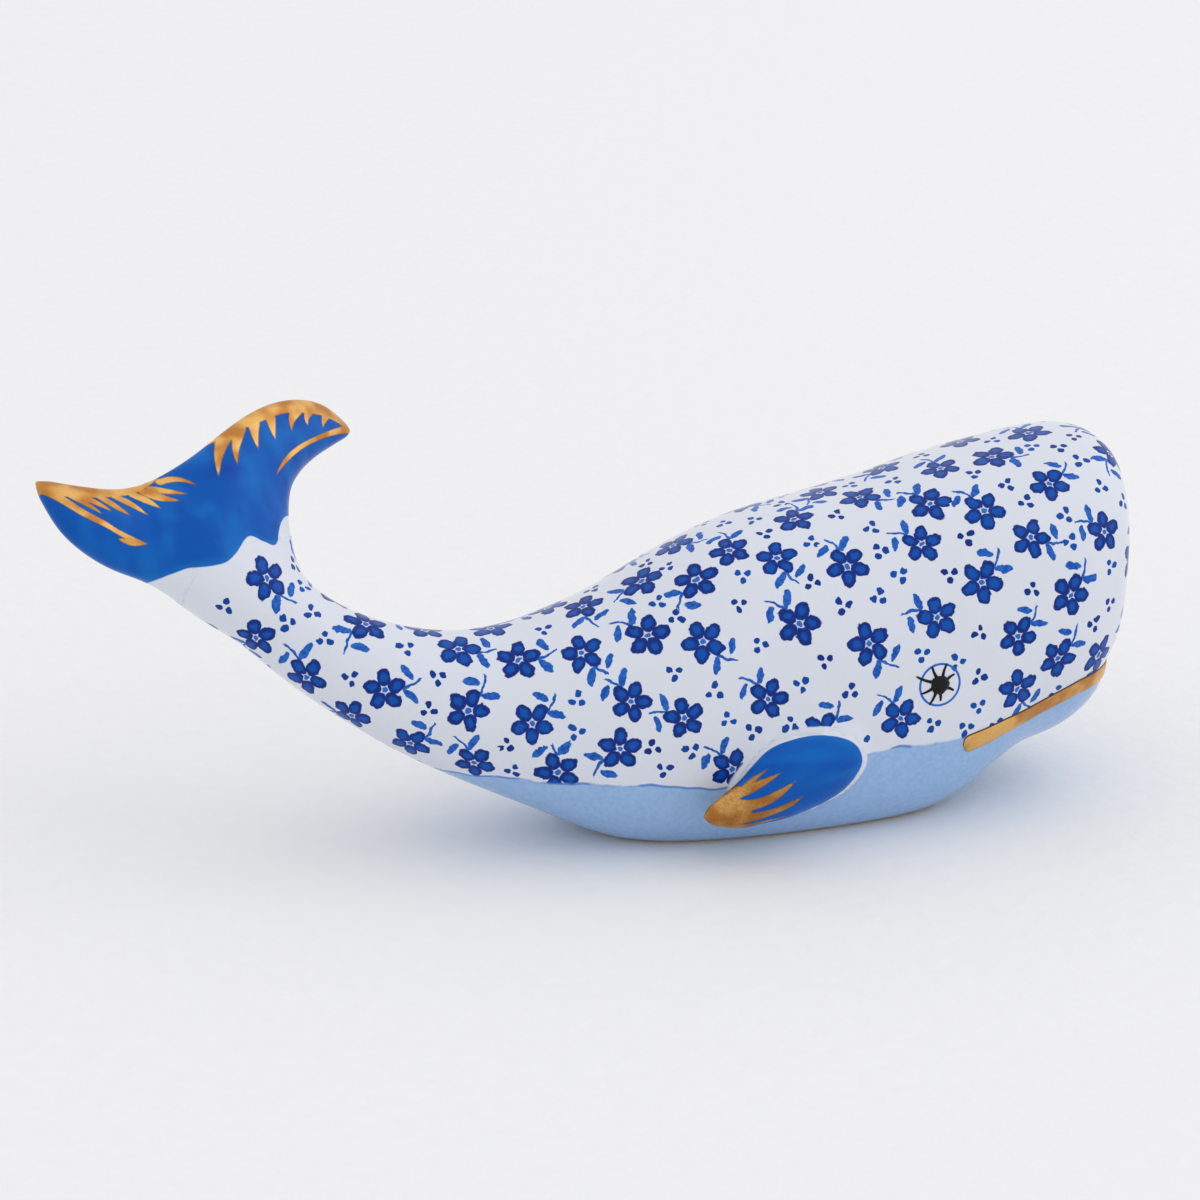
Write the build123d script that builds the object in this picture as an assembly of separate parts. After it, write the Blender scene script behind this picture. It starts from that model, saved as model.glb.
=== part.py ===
from build123d import *
from math import copysign, cos, pi, radians, sin
import os

# Whale figurine: a hollow slip-cast porcelain body with luted-on tail and flippers.
# The head points to +X, the right flank faces -Y, and the flat foot rests on Z = 0.
# Lengths are in millimetres, angles in degrees.

# Body
body_length = 103.0
body_width = 33.6
body_depth = 40.2
wall = 2.8
foot_floor = 3.0
vent_diameter = 3.0

# Tail flukes
fluke_half_span = 20.0
fluke_thickness = 8.6
fluke_turn = 74.0
fluke_rise = 64.0
fluke_fullness = 0.35

# Flippers
flipper_length = 19.2
flipper_width = 8.0
flipper_thickness = 4.0
flipper_bury = 0.4
flipper_sweep = 14.4
flipper_splay = 5.1
flipper_cant = 10.0

# Eyes and lip band
eye_radius = 1.15
eye_height = 0.5
lip_width = 2.8
lip_proud = 0.25
lip_depth = 0.6

# Cuts run past the surface by this much
overrun = 2.0

# Points round one section of the body, the flukes and the flippers
BODY_POINTS = 28
FLUKE_POINTS = 18
FLIPPER_POINTS = 14

# Sections of the body from the snout to the end of the tail stock.
# Each row: centre as shares of length, length and depth, then tilt and turn in
# degrees, half width and half depth as shares of half the body's width and depth,
# and the roundness powers of the upper and lower halves.
BODY_SHARES = [
    (0.408, 0.000, 0.731, 2, 0, 0.083, 0.090, 2.0, 2.0),
    (0.403, 0.000, 0.724, 3, 0, 0.357, 0.353, 2.1, 2.2),
    (0.394, 0.000, 0.695, 3, 0, 0.548, 0.555, 2.2, 2.3),
    (0.381, 0.000, 0.662, 2, 0, 0.690, 0.692, 2.3, 2.4),
    (0.359, 0.000, 0.624, 1, 0, 0.804, 0.806, 2.4, 2.3),
    (0.326, 0.000, 0.587, 0, 0, 0.905, 0.876, 2.4, 2.1),
    (0.274, 0.000, 0.555, 0, 0, 0.970, 0.900, 2.4, 2.0),
    (0.194, 0.000, 0.481, 0, 0, 1.000, 0.976, 2.4, 2.3),
    (0.097, 0.000, 0.427, 0, 0, 0.994, 0.984, 2.3, 2.4),
    (0.000, 0.000, 0.404, 0, 0, 0.958, 0.958, 2.2, 2.4),
    (-0.097, 0.000, 0.376, 0, 0, 0.887, 0.882, 2.1, 2.4),
    (-0.186, 0.000, 0.351, 2, 1, 0.774, 0.741, 2.1, 2.3),
    (-0.268, 0.004, 0.373, 7, 4, 0.643, 0.567, 2.1, 2.2),
    (-0.342, 0.011, 0.408, 13, 8, 0.524, 0.438, 2.0, 2.1),
    (-0.408, 0.022, 0.460, 20, 13, 0.429, 0.353, 2.0, 2.0),
    (-0.466, 0.039, 0.530, 27, 20, 0.357, 0.294, 2.0, 2.0),
    (-0.513, 0.061, 0.604, 34, 29, 0.321, 0.259, 2.0, 2.0),
    (-0.550, 0.084, 0.687, 42, 38, 0.342, 0.249, 2.0, 2.0),
    (-0.578, 0.108, 0.770, 50, 45, 0.423, 0.239, 2.0, 2.0),
]

# End of the tail stock inside the flukes: its place and half width as shares of the
# flukes' half span, its half depth as a share of their thickness, then tilt and turn.
STOCK_END_SHARES = (-0.05, 0.14, 0.00, 0.30, 0.34, 58, 62)

# First body section that the hollow follows, and the last one that it and the lip follow
HOLLOW_FIRST = 3
HOLLOW_LAST = 13

# Where the flukes grow from, as shares of the body's length, length and depth
FLUKE_ROOT_SHARES = (-0.580, 0.117, 0.796)

# Sections across the flukes from the right tip to the left tip.
# Each row: leading point, then trailing point, each along the span, away from the
# root and toward the upper face, as shares of the half span, then the thickness.
FLUKE_SHARES = [
    (-0.982, 0.714, -0.20, -0.963, 0.728, -0.20, 0.08),
    (-0.987, 0.672, -0.19, -0.923, 0.715, -0.19, 0.19),
    (-0.985, 0.575, -0.16, -0.855, 0.685, -0.16, 0.27),
    (-0.945, 0.395, -0.09, -0.680, 0.610, -0.10, 0.42),
    (-0.750, 0.160, -0.04, -0.470, 0.570, -0.05, 0.56),
    (-0.470, 0.000, -0.01, -0.250, 0.610, -0.02, 0.72),
    (-0.080, -0.110, 0.00, 0.000, 0.700, 0.00, 1.00),
    (0.260, 0.100, -0.01, 0.250, 0.800, -0.02, 0.81),
    (0.420, 0.320, -0.04, 0.480, 0.860, -0.05, 0.63),
    (0.620, 0.470, -0.09, 0.730, 0.860, -0.10, 0.49),
    (0.870, 0.560, -0.16, 0.940, 0.780, -0.16, 0.36),
    (1.019, 0.605, -0.21, 1.039, 0.685, -0.21, 0.24),
    (1.059, 0.626, -0.22, 1.063, 0.654, -0.22, 0.09),
]

# Front end of a flipper, as shares of the body's length, half width and depth
FLIPPER_ROOT_SHARES = (0.036, 0.964, 0.287)

# Sections along a flipper from its rounded front to its tip.
# Each row: place along it, shift toward the back, half width and half thickness,
# as shares of its length, width, width and thickness.
FLIPPER_SHARES = [
    (-0.035, 0.00, 0.00, 0.00),
    (-0.01, 0.00, 0.20, 0.28),
    (0.06, -0.02, 0.36, 0.42),
    (0.20, -0.02, 0.52, 0.50),
    (0.38, 0.00, 0.59, 0.50),
    (0.52, 0.00, 0.57, 0.47),
    (0.64, -0.04, 0.46, 0.42),
    (0.78, -0.08, 0.34, 0.34),
    (0.90, -0.05, 0.22, 0.24),
    (0.97, -0.02, 0.11, 0.13),
    (1.00, 0.00, 0.00, 0.00),
]

# Centre of the right eye, as shares of the body's length, half width and depth
EYE_SHARES = (0.135, 1.000, 0.464)

# Middle line of the lip band from its rear end to beyond the snout,
# as shares of the body's length and depth
LIP_SHARES = [
    (0.167, 0.261),
    (0.195, 0.279),
    (0.221, 0.297),
    (0.246, 0.311),
    (0.270, 0.330),
    (0.294, 0.351),
    (0.318, 0.371),
    (0.351, 0.381),
    (0.450, 0.405),
]


# Sections
def power_sine(value, power):
    return copysign(abs(value) ** (2 / power), value)


def ring(centre, tilt, turn, half_width, half_depth, upper, lower):
    p = radians(tilt)
    h = radians(turn)
    right = Vector(-sin(h), -cos(h), 0)
    up = Vector(sin(p) * cos(h), -sin(p) * sin(h), cos(p))
    points = []
    for k in range(BODY_POINTS):
        angle = pi / 2 + 2 * pi * k / BODY_POINTS
        power = upper if sin(angle) >= 0 else lower
        across = power_sine(cos(angle), power) * half_width
        rise = power_sine(sin(angle), power) * half_depth
        points.append(centre + right * across + up * rise)
    return closed_face(points)


def body_section(row, growth, shift):
    x_share, y_share, z_share, tilt, turn, wide, deep, upper, lower = row
    centre = Vector(x_share * body_length + shift, y_share * body_length, z_share * body_depth)
    half_width = wide * body_width / 2 + growth
    half_depth = deep * body_depth / 2 + growth
    return ring(centre, tilt, turn, half_width, half_depth, upper, lower)


def stock_end():
    across, away, face, wide, deep, tilt, turn = STOCK_END_SHARES
    centre = fluke_place((across, away, face))
    return ring(centre, tilt, turn, wide * fluke_half_span, deep * fluke_thickness, 2, 2)


def closed_face(points):
    return Face(Wire([Edge.make_spline(points, periodic=True)]))


def body_sections(first, last, growth, shift):
    return [body_section(row, growth, shift) for row in BODY_SHARES[first:last + 1]]


def above(form, level):
    reach = 2 * body_length
    keep = Pos(0, 0, level) * Box(2 * reach, 2 * reach, reach, align=(Align.CENTER, Align.CENTER, Align.MIN))
    return form & keep


# Body
def outer_body():
    sections = body_sections(0, len(BODY_SHARES) - 1, 0, 0)
    return above(loft(sections + [stock_end()]), 0)


def hollow():
    return above(loft(body_sections(HOLLOW_FIRST, HOLLOW_LAST, -wall, 0)), foot_floor)


def vent():
    depth = foot_floor + overrun
    return Pos(0, 0, -overrun / 2) * Cylinder(
        vent_diameter / 2, depth, align=(Align.CENTER, Align.CENTER, Align.MIN))


# Tail flukes
def fluke_axes():
    h = radians(fluke_turn)
    p = radians(fluke_rise)
    span = Vector(sin(h), cos(h), 0)
    away = Vector(-cos(h) * cos(p), sin(h) * cos(p), sin(p))
    return span, away, span.cross(away)


def fluke_place(shares):
    x_share, y_share, z_share = FLUKE_ROOT_SHARES
    root = Vector(x_share * body_length, y_share * body_length, z_share * body_depth)
    span, away, face = fluke_axes()
    move = span * shares[0] + away * shares[1] + face * shares[2]
    return root + move * fluke_half_span


def fluke_section(k):
    lead = [fluke_place(row[0:3]) for row in FLUKE_SHARES]
    trail = [fluke_place(row[3:6]) for row in FLUKE_SHARES]
    chord = trail[k] - lead[k]
    before = max(k - 1, 0)
    after = min(k + 1, len(FLUKE_SHARES) - 1)
    along = (lead[after] + trail[after]) - (lead[before] + trail[before])
    normal = along.cross(chord).normalized()
    thick = FLUKE_SHARES[k][6] * fluke_thickness
    points = []
    for j in range(FLUKE_POINTS):
        angle = 2 * pi * j / FLUKE_POINTS
        back = (1 - cos(angle)) / 2
        rise = sin(angle) * (1 + fluke_fullness * cos(angle)) / 2
        points.append(lead[k] + chord * back + normal * (rise * thick))
    return closed_face(points)


def tail_flukes():
    return loft([fluke_section(k) for k in range(len(FLUKE_SHARES))])


# Flippers
def flipper_place(along, rise, out):
    x_share, y_share, z_share = FLIPPER_ROOT_SHARES
    s = radians(flipper_sweep)
    b = radians(flipper_splay)
    c = radians(flipper_cant)
    side = y_share * body_width / 2 - flipper_bury
    root = Vector(x_share * body_length, -side, z_share * body_depth)
    axis = Vector(-cos(s) * cos(b), -sin(b), -sin(s) * cos(b))
    facing = Vector(0, -cos(c), -sin(c))
    up = axis.cross(facing).normalized()
    outward = up.cross(axis)
    return root + axis * along + up * rise + outward * out


def flipper_section(row):
    along = row[0] * flipper_length
    points = []
    for j in range(FLIPPER_POINTS):
        angle = pi / 2 + 2 * pi * j / FLIPPER_POINTS
        rise = (row[1] + row[2] * cos(angle)) * flipper_width
        out = row[3] * sin(angle) * flipper_thickness
        points.append(flipper_place(along, rise, out))
    return closed_face(points)


def flipper_form():
    first = FLIPPER_SHARES[0]
    last = FLIPPER_SHARES[-1]
    ends = []
    for row in (first, last):
        place = flipper_place(row[0] * flipper_length, row[1] * flipper_width, 0)
        ends.append(Vertex(*tuple(place)))
    sections = [flipper_section(row) for row in FLIPPER_SHARES[1:-1]]
    return loft([ends[0]] + sections + [ends[1]])


# Eyes
def eye_form():
    ball = (eye_radius ** 2 + eye_height ** 2) / (2 * eye_height)
    x_share, y_share, z_share = EYE_SHARES
    surface = y_share * body_width / 2
    centre = -(surface + eye_height - ball)
    return Pos(x_share * body_length, centre, z_share * body_depth) * Sphere(ball)


# Lip band
def lip_profile():
    middle = [Vector(x * body_length, 0, z * body_depth) for x, z in LIP_SHARES]
    upper = []
    lower = []
    for k, place in enumerate(middle):
        before = middle[max(k - 1, 0)]
        after = middle[min(k + 1, len(middle) - 1)]
        run = (after - before).normalized()
        side = Vector(-run.Z, 0, run.X) * (lip_width / 2)
        upper.append(place + side)
        lower.append(place - side)
    start = (middle[0] - middle[1]).normalized() * (lip_width / 2)
    edges = [
        Edge.make_spline(upper),
        Edge.make_line(upper[-1], lower[-1]),
        Edge.make_spline(lower),
        Edge.make_three_point_arc(upper[0], middle[0] + start, lower[0]),
    ]
    return Face(Wire(edges))


def gilt_lip():
    slab = extrude(lip_profile(), amount=body_width, dir=(0, 1, 0), both=True)
    outside = loft(body_sections(0, HOLLOW_LAST, lip_proud, lip_proud))
    inside = loft(body_sections(1, HOLLOW_LAST, -lip_depth, -lip_depth))
    return (slab & outside) - inside


# All the pieces
def pieces():
    outer = outer_body()
    band = gilt_lip()
    flukes = tail_flukes()
    body = outer - hollow() - vent() - band - flukes
    flipper = flipper_form()
    eye = eye_form()
    return {
        "body_casting": body,
        "tail_flukes": flukes,
        "right_flipper": flipper - outer,
        "left_flipper": mirror(flipper, about=Plane.XZ) - outer,
        "right_eye_enamel": eye - outer,
        "left_eye_enamel": mirror(eye, about=Plane.XZ) - outer,
        "gilt_lip_band": band,
    }


os.makedirs("parts", exist_ok=True)
for node, shape in pieces().items():
    shape.label = node
    export_step(shape, "parts/" + node + ".step")
    box = shape.bounding_box()
    print(node, len(shape.solids()), round(shape.volume), box.min, box.max)
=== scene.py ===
import math

import bpy
import numpy as np
from mathutils import Matrix


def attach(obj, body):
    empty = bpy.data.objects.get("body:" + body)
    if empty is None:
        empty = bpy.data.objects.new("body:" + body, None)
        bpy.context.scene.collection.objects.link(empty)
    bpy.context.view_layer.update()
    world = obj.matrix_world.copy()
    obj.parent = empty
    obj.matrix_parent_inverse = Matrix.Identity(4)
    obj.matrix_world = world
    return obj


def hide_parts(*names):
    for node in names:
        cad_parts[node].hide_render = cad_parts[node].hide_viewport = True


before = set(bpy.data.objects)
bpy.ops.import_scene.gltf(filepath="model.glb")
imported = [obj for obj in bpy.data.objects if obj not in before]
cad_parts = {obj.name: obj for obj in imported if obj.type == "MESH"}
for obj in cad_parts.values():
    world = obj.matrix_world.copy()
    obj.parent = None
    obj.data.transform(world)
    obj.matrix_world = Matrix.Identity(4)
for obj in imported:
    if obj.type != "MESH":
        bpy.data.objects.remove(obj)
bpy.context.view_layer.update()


# Cast body. A hollow slip-cast porcelain shell from the snout to the tail stock, fired,
# painted in blue under a clear glossy glaze and left bare on the flat foot that it stands
# on. The tail and flippers are stuck to it with slip before firing.
MM = 0.001
SKIN_ROWS, SKIN_COLUMNS = 270, 184
FOOT_EDGE = 0.55

# Depth in mm that stands for well outside a painted area, and a length too small to see
FAR, SLIVER = 9.0, 1e-9

# Stations from the snout back: centre x, y, z, tilt, turn, half width, half depth, and
# the roundness powers of the upper and lower half. Lengths in mm, angles in degrees.
BODY_STATIONS = np.array([
    (42.02, 0.0, 29.39, 2, 0, 1.39, 1.81, 2.0, 2.0),
    (41.51, 0.0, 29.10, 3, 0, 6.0, 7.10, 2.1, 2.2),
    (40.58, 0.0, 27.94, 3, 0, 9.21, 11.16, 2.2, 2.3),
    (39.24, 0.0, 26.61, 2, 0, 11.59, 13.91, 2.3, 2.4),
    (36.98, 0.0, 25.08, 1, 0, 13.51, 16.2, 2.4, 2.3),
    (33.58, 0.0, 23.6, 0, 0, 15.2, 17.61, 2.4, 2.1),
    (28.22, 0.0, 22.31, 0, 0, 16.3, 18.09, 2.4, 2.0),
    (19.98, 0.0, 19.34, 0, 0, 16.8, 19.62, 2.4, 2.3),
    (9.99, 0.0, 17.17, 0, 0, 16.7, 19.78, 2.3, 2.4),
    (0.0, 0.0, 16.24, 0, 0, 16.09, 19.26, 2.2, 2.4),
    (-9.99, 0.0, 15.12, 0, 0, 14.9, 17.73, 2.1, 2.4),
    (-19.16, 0.0, 14.11, 2, 1, 13.0, 14.89, 2.1, 2.3),
    (-27.6, 0.41, 14.99, 7, 4, 10.8, 11.4, 2.1, 2.2),
    (-35.23, 1.13, 16.4, 13, 8, 8.8, 8.8, 2.0, 2.1),
    (-42.02, 2.27, 18.49, 20, 13, 7.2, 7.1, 2.0, 2.0),
    (-48.0, 4.02, 21.31, 27, 20, 6.0, 5.91, 2.0, 2.0),
    (-52.84, 6.28, 24.28, 34, 29, 5.39, 5.21, 2.0, 2.0),
    (-56.65, 8.65, 27.62, 42, 38, 5.75, 5.0, 2.0, 2.0),
    (-59.53, 11.12, 30.95, 50, 45, 7.11, 4.8, 2.0, 2.0),
    (-61.04, 12.95, 34.52, 58, 62, 6.0, 2.92, 2.0, 2.0),
])


def natural_spline(knots, values, at):
    """Natural cubic spline: at each knot it takes the row of values, between two knots it
    is the straight blend plus (a^3 - a) and (b^3 - b) times the second derivatives."""
    steps = np.diff(knots)
    count = len(knots)
    inner = np.arange(1, count - 1)
    matrix = np.eye(count)
    matrix[inner, inner - 1] = steps[:-1]
    matrix[inner, inner] = 2 * (steps[:-1] + steps[1:])
    matrix[inner, inner + 1] = steps[1:]
    slopes = np.diff(values, axis=0) / steps[:, None]
    right_side = np.zeros(values.shape)
    right_side[1:-1] = 6 * np.diff(slopes, axis=0)
    bends = np.linalg.solve(matrix, right_side)
    k = np.clip(np.searchsorted(knots, at, side="right") - 1, 0, count - 2)
    step = steps[k][:, None]
    a = (knots[k + 1] - at)[:, None] / step
    b = (at - knots[k])[:, None] / step
    curve = a * values[k] + b * values[k + 1]
    return curve + ((a ** 3 - a) * bends[k] + (b ** 3 - b) * bends[k + 1]) * step ** 2 / 6


def body_rows(count):
    """Stations spaced evenly along the body, where one step is the square root of the
    centre's move squared plus the change of half depth squared."""
    moves = np.linalg.norm(np.diff(BODY_STATIONS[:, :3], axis=0), axis=1)
    growth = np.diff(BODY_STATIONS[:, 6])
    travel = np.concatenate(([0], np.cumsum(np.hypot(moves, growth))))
    return natural_spline(travel, BODY_STATIONS, np.linspace(0, travel[-1], count))


def circle(count):
    """So many angles, evenly spaced round a full turn from 0."""
    return np.linspace(0, 2 * np.pi, count, endpoint=False)


def squared_off(wave, power):
    """Cosine or sine with its sign kept and its size raised to 2 / power, so that a power
    over 2 fills out the corners of a round section."""
    return np.sign(wave) * np.abs(wave) ** (2 / power)


def unit(vectors, spare=0.0):
    """Vectors divided by their lengths, with a sliver to spare where one may be zero."""
    return vectors / (np.linalg.norm(vectors, axis=-1, keepdims=True) + spare)


# Past CHIN_FROM the head overhangs the lip and the chin fills out under it, fully so
# CHIN_REACH farther on. Each is a bell with its own middle height and spread.
CHIN_FULL, CHIN_FROM, CHIN_REACH = 0.65, 30, 9
CHIN_Z, CHIN_SPREAD = 11.2, 2.6
SEAT_Z, SEAT_SPREAD = 16.2, 2.0


def body_skin(rows, angles):
    """Skin point = centre + right * W * |cos|^(2/p) + up * D * |sin|^(2/p), signs kept.
    The foot is a soft floor: z becomes (z + (z^4 + e^4)^(1/4)) / 2. In front, x moves out
    by a bell curve of z about the chin and in by another about the seat of the lip."""
    tilt = np.radians(rows[:, 3])
    turn = np.radians(rows[:, 4])
    right = np.stack((-np.sin(turn), -np.cos(turn), 0 * turn), -1)
    up = np.stack((np.sin(tilt) * np.cos(turn), -np.sin(tilt) * np.sin(turn), np.cos(tilt)), -1)
    power = np.where(np.sin(angles) >= 0, rows[:, 7:8], rows[:, 8:9])
    across = squared_off(np.cos(angles), power) * rows[:, 5:6]
    rise = squared_off(np.sin(angles), power) * rows[:, 6:7]
    skin = rows[:, None, :3] + across[..., None] * right[:, None] + rise[..., None] * up[:, None]
    z = skin[..., 2]
    skin[..., 2] = (z + (z ** 4 + FOOT_EDGE ** 4) ** 0.25) / 2
    ahead = np.clip((skin[..., 0] - CHIN_FROM) / CHIN_REACH, 0, 1) ** 2
    chin = np.exp(-((z - CHIN_Z) / CHIN_SPREAD) ** 2) - np.exp(-((z - SEAT_Z) / SEAT_SPREAD) ** 2)
    skin[..., 0] += CHIN_FULL * ahead * chin
    return skin


def lofted(grid, first_tip, last_tip):
    """Closed skin over a grid of rings: quads between neighbouring rings, and a fan of
    triangles from each end ring to its tip. The signed volume says which way is out."""
    rings, columns = grid.shape[:2]
    i, j = np.meshgrid(np.arange(rings - 1), np.arange(columns), indexing="ij")
    here = (i * columns + j).ravel()
    beside = (i * columns + (j + 1) % columns).ravel()
    walls = np.stack((here, beside, beside + columns, here + columns), -1)
    points = np.concatenate((grid.reshape(-1, 3), [first_tip, last_tip]))
    ring = np.arange(columns)
    after = (ring + 1) % columns
    last = (rings - 1) * columns
    first_fan = np.stack((np.full(columns, len(points) - 2), after, ring), -1)
    last_fan = np.stack((np.full(columns, len(points) - 1), last + ring, last + after), -1)
    a, b, c, d = (points[walls[:, k]] for k in range(4))
    volume = np.sum(a * np.cross(b, c)) + np.sum(a * np.cross(c, d))
    if volume < 0:
        walls, first_fan, last_fan = walls[:, ::-1], first_fan[:, ::-1], last_fan[:, ::-1]
    return points, walls.tolist() + first_fan.tolist() + last_fan.tolist()


def make_piece(name, points, faces, paint):
    """Mesh object from points in mm, smooth shaded. Each painted area or trait has one
    number per point or per face: for an area, the depth in mm inside its edge."""
    mesh = bpy.data.meshes.new(name)
    mesh.from_pydata((points * MM).tolist(), [], faces)
    mesh.shade_smooth()
    for area, depth in paint.items():
        domain = "POINT" if len(depth) == len(points) else "FACE"
        mesh.attributes.new(area, "FLOAT", domain).data.foreach_set("value", depth.astype(np.float32))
    mesh.update()
    piece = bpy.data.objects.new(name, mesh)
    bpy.context.scene.collection.objects.link(piece)
    return piece


def outward(grid):
    """Unit normals of a grid of rings: the cross product of the step round the ring and the
    step along the rings, with the sign that points away from the rings' middles."""
    step_round = np.roll(grid, -1, 1) - np.roll(grid, 1, 1)
    normal = unit(np.cross(step_round, np.gradient(grid, axis=0)), SLIVER)
    away = grid - grid.mean(axis=1, keepdims=True)
    return normal * np.sign((normal * away).sum())


skin = body_skin(body_rows(SKIN_ROWS), circle(SKIN_COLUMNS))

# The stock ends in a low dome, pressed into the slip between the flukes: each ring of it
# is the last ring shrunk by the cosine of an angle and moved on by the sine.
STOCK_DOME, DOME_STEP = 2.4, 9
dome_angle = np.radians(np.arange(DOME_STEP, 90, DOME_STEP))[:, None, None]
stock_middle = skin[-1].mean(axis=0)
stock_way = unit(stock_middle - skin[-4].mean(axis=0))
dome = stock_middle + (skin[-1] - stock_middle) * np.cos(dome_angle)
dome += stock_way * STOCK_DOME * np.sin(dome_angle)
skin = np.concatenate((skin, dome))
skin_out = outward(skin)

# Vent hole through the foot: the skin inside its circle is lifted to the height of the
# foot's thickness. The nearest points outside the circle are drawn on to it, and the
# nearest ones inside to VENT_EDGE short of it.
VENT_RADIUS, VENT_DEEP, VENT_EDGE, UNDERSIDE_Z = 1.5, 3.0, 0.06, 1.0


def grown(mask):
    """Mask widened by one point of the grid in every direction, diagonals too."""
    shifts = [np.roll(mask, (a, b), axis=(0, 1)) for a in (-1, 0, 1) for b in (-1, 0, 1)]
    return np.any(shifts, axis=0)


from_vent = np.hypot(skin[..., 0], skin[..., 1]) + SLIVER
in_vent = (skin[..., 2] < UNDERSIDE_Z) & (from_vent < VENT_RADIUS)
drawn = np.where(grown(in_vent) & ~in_vent, VENT_RADIUS, from_vent)
drawn = np.where(in_vent & grown(~in_vent), VENT_RADIUS - VENT_EDGE, drawn)
skin[..., :2] *= (drawn / from_vent)[..., None]
skin[..., 2] = np.where(in_vent, VENT_DEEP, skin[..., 2])

SNOUT_TIP = np.array((42.06, 0.0, 29.42))
skin_points, skin_faces = lofted(skin, SNOUT_TIP, skin[-1].mean(axis=0))

# Middle line of the lip: x from the rear end to beyond the snout, and its height
LIP_EDGE = np.array([
    (17.2, 10.5), (20.1, 11.2), (22.8, 11.95), (25.3, 12.5), (27.8, 13.25), (30.3, 14.1),
    (32.8, 14.95), (36.2, 15.3), (44, 16.2),
])

# Edge of the pale belly on the flank, x and z from the tail stock to the rear end of the
# lip, and then on under the lip
BELLY_EDGE = np.concatenate(([
    (-70, 10.4), (-37, 10.4), (-33, 10.1), (-28.8, 9.8), (-24.7, 9.75), (-19.3, 9.5), (-16, 9.1),
    (-12.6, 8.5), (-8, 9.1), (-3, 10.3), (2, 11.2), (4.6, 11.5), (9.4, 11.65), (13, 11.6),
    (17.4, 11.55), (18.6, 11.0),
], LIP_EDGE[1:]))

# Depth inside the belly: the height under its edge, over the slant of the skin there
LEAST_SLANT = 0.3
slant = np.maximum(np.sqrt(1 - np.minimum(skin_out[..., 2] ** 2, 1)), LEAST_SLANT)
belly = (np.interp(skin[..., 0], *BELLY_EDGE.T) - skin[..., 2]) / slant
belly = np.concatenate((belly.ravel(), (-FAR, -FAR)))

# Frame of the flukes: the root on the stock, the span from the right tip to the left,
# and the direction away from the body.
FLUKE_ROOT = np.array((-59.74, 12.05, 32.0))
FLUKE_TURN, FLUKE_RISE = math.radians(74), math.radians(64)
FLUKE_SPAN = np.array((math.sin(FLUKE_TURN), math.cos(FLUKE_TURN), 0.0))
FLUKE_AWAY = np.array((-math.cos(FLUKE_TURN) * math.cos(FLUKE_RISE),
                       math.sin(FLUKE_TURN) * math.cos(FLUKE_RISE), math.sin(FLUKE_RISE)))
FLUKE_HALF_SPAN = 20.0

# Edge of the cobalt on the tail, along the span and away from the root, in half spans
COBALT_EDGE = np.array([
    (-0.90, 0.015), (-0.75, 0.02), (-0.571, 0.025), (-0.424, 0.041), (-0.30, 0.026), (-0.194, 0.03),
    (-0.092, 0.105), (-0.019, 0.131), (0.06, 0.078), (0.125, 0.058), (0.169, 0.099),
    (0.208, 0.151), (0.277, 0.20), (0.40, 0.21), (0.90, 0.20),
])


def cobalt_depth(points):
    """Depth in mm inside the cobalt of the tail: the point's height above a spline through
    the places of the paint edge, seen along the flukes' own face direction."""
    across = (points - FLUKE_ROOT) @ FLUKE_SPAN / FLUKE_HALF_SPAN
    away = (points - FLUKE_ROOT) @ FLUKE_AWAY / FLUKE_HALF_SPAN
    across = np.clip(across, COBALT_EDGE[0, 0], COBALT_EDGE[-1, 0])
    edge = natural_spline(COBALT_EDGE[:, 0], COBALT_EDGE[:, 1:], across)[..., 0]
    return (away - edge) * FLUKE_HALF_SPAN


cobalt = cobalt_depth(skin_points)

# Sprigs are set out one by one, each new one in the widest gap left: flowers first, then
# small berries between them, all clear of the belly, the eye and the tail.
FLOWER_GAP, BERRY_GAP, SPRIG_ROOM = 5.9, 3.0, 1.1
FLOWER_CLEAR, BERRY_CLEAR = 2.3, 1.0
FLOWER_REACH, BERRY_REACH = 3.4, 1.25
SPRIG_SIZES = 1.34, 1.52
luck = np.random.default_rng(7)

# Where the eye is, how clear flowers stay of it, and the distance from it that a site
# off the flank is given
EYE_X, EYE_Z = 13.9, 18.65
EYE_CLEAR, EYE_ROOM = 5.7, 1.6
FLANK_Y, OFF_FLANK = 8.0, 99

# Every third point of the skin, short of both ends, is a site for a sprig
coarse = np.s_[4:-20:3, ::3]
sites = skin[coarse].reshape(-1, 3)
site_belly = belly[:-2].reshape(skin.shape[:2])[coarse].ravel()
site_cobalt = cobalt[:-2].reshape(skin.shape[:2])[coarse].ravel()
eye_gap = np.hypot(sites[:, 0] - EYE_X, sites[:, 2] - EYE_Z)
eye_gap = np.where(np.abs(sites[:, 1]) > FLANK_Y, eye_gap, OFF_FLANK)


def widest_gaps(nearest, open_sites, gap):
    """Chosen places: again and again the open site farthest from all chosen ones, until
    none is farther away than the gap."""
    chosen = []
    nearest = np.where(open_sites, nearest, 0)
    while nearest.max() > gap:
        pick = int(np.argmax(nearest))
        chosen.append(pick)
        nearest = np.minimum(nearest, np.linalg.norm(sites - sites[pick], axis=1))
    return chosen


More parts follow.
